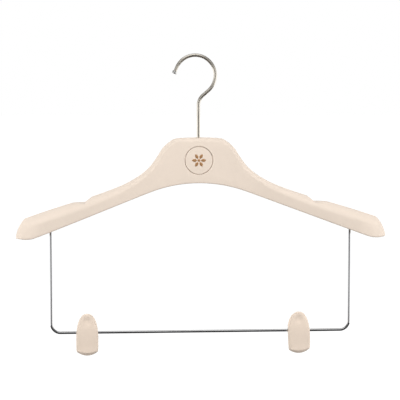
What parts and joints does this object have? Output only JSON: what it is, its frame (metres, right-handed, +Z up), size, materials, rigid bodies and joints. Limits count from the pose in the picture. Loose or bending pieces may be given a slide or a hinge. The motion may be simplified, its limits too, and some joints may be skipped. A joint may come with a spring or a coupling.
{
  "type": "trouser hanger",
  "caption": "Moulded coat and trouser hanger with wide bowed shoulders, a swivelling wire hook, and a wire rail with sliding sprung clips.",
  "frame": {"origin": "the hook's seat: the point inside the hook that rests on a wardrobe rod, straight above the shank", "axes": "+X along the arms to the picture's right, +Y to the back, +Z up along the shank"},
  "size_m": [0.447, 0.0793, 0.3665],
  "materials": {
    "shell_plastic": "fine satin moulded plastic, warm cream",
    "clip_plastic": "fine satin moulded plastic, warm beige",
    "hook_metal": "brushed champagne nickel plating",
    "polished_metal": "polished nickel plating",
    "rail_chrome": "polished chrome plating",
    "spring_steel": "drawn spring steel",
    "bush_brass": "turned brass",
    "pad_rubber": "soft ribbed rubber",
    "sleeve_plastic": "natural nylon"
  },
  "bodies": {
    "hook": {"hook": "hook_metal", "hook_tip_cap": "polished_metal", "thrust_washer": "spring_steel", "lock_nut": "spring_steel"},
    "hanger": {"swivel_bush": "bush_brass", "front_shell": "shell_plastic", "back_shell": "shell_plastic", "badge_disc": "shell_plastic", "rail_frame": "rail_chrome"},
    "left_slider": {"left_sleeve": "sleeve_plastic"},
    "left_back": {"left_back_jaw": "clip_plastic", "left_back_pad": "pad_rubber", "left_spring": "spring_steel"},
    "left_front": {"left_front_jaw": "clip_plastic", "left_front_pad": "pad_rubber"},
    "right_slider": {"right_sleeve": "sleeve_plastic"},
    "right_back": {"right_back_jaw": "clip_plastic", "right_back_pad": "pad_rubber", "right_spring": "spring_steel"},
    "right_front": {"right_front_jaw": "clip_plastic", "right_front_pad": "pad_rubber"}
  },
  "joints": [
    {"name": "hook_swivel", "type": "hinge", "parent": "hook", "child": "hanger", "pos_m": [0, 0, -0.0986], "axis": [0, 0, 1], "continuous": true},
    {"name": "left_clip_slide", "type": "slide", "parent": "hanger", "child": "left_slider", "axis": [1, 0, 0], "range_m": [-0.0175, 0.122]},
    {"name": "left_clip_swing", "type": "hinge", "parent": "left_slider", "child": "left_back", "pos_m": [-0.1386, -0.04315, -0.33378], "axis": [1, 0, 0], "continuous": true},
    {"name": "left_clip_open", "type": "hinge", "parent": "left_back", "child": "left_front", "pos_m": [-0.1386, -0.04315, -0.33378], "axis": [-1, 0, 0], "range_deg": [0, 35], "stiffness_Nm_per_rad": 0.12, "springref_deg": -68.75, "deforming": ["left_spring"]},
    {"name": "right_clip_slide", "type": "slide", "parent": "hanger", "child": "right_slider", "axis": [1, 0, 0], "range_m": [-0.1035, 0.034]},
    {"name": "right_clip_swing", "type": "hinge", "parent": "right_slider", "child": "right_back", "pos_m": [0.1195, -0.04315, -0.33378], "axis": [0.9986, 0, 0.0523], "continuous": true},
    {"name": "right_clip_open", "type": "hinge", "parent": "right_back", "child": "right_front", "pos_m": [0.1195, -0.04315, -0.33378], "axis": [-0.9986, 0, -0.0523], "range_deg": [0, 35], "stiffness_Nm_per_rad": 0.12, "springref_deg": -68.75, "deforming": ["right_spring"]}
  ]
}
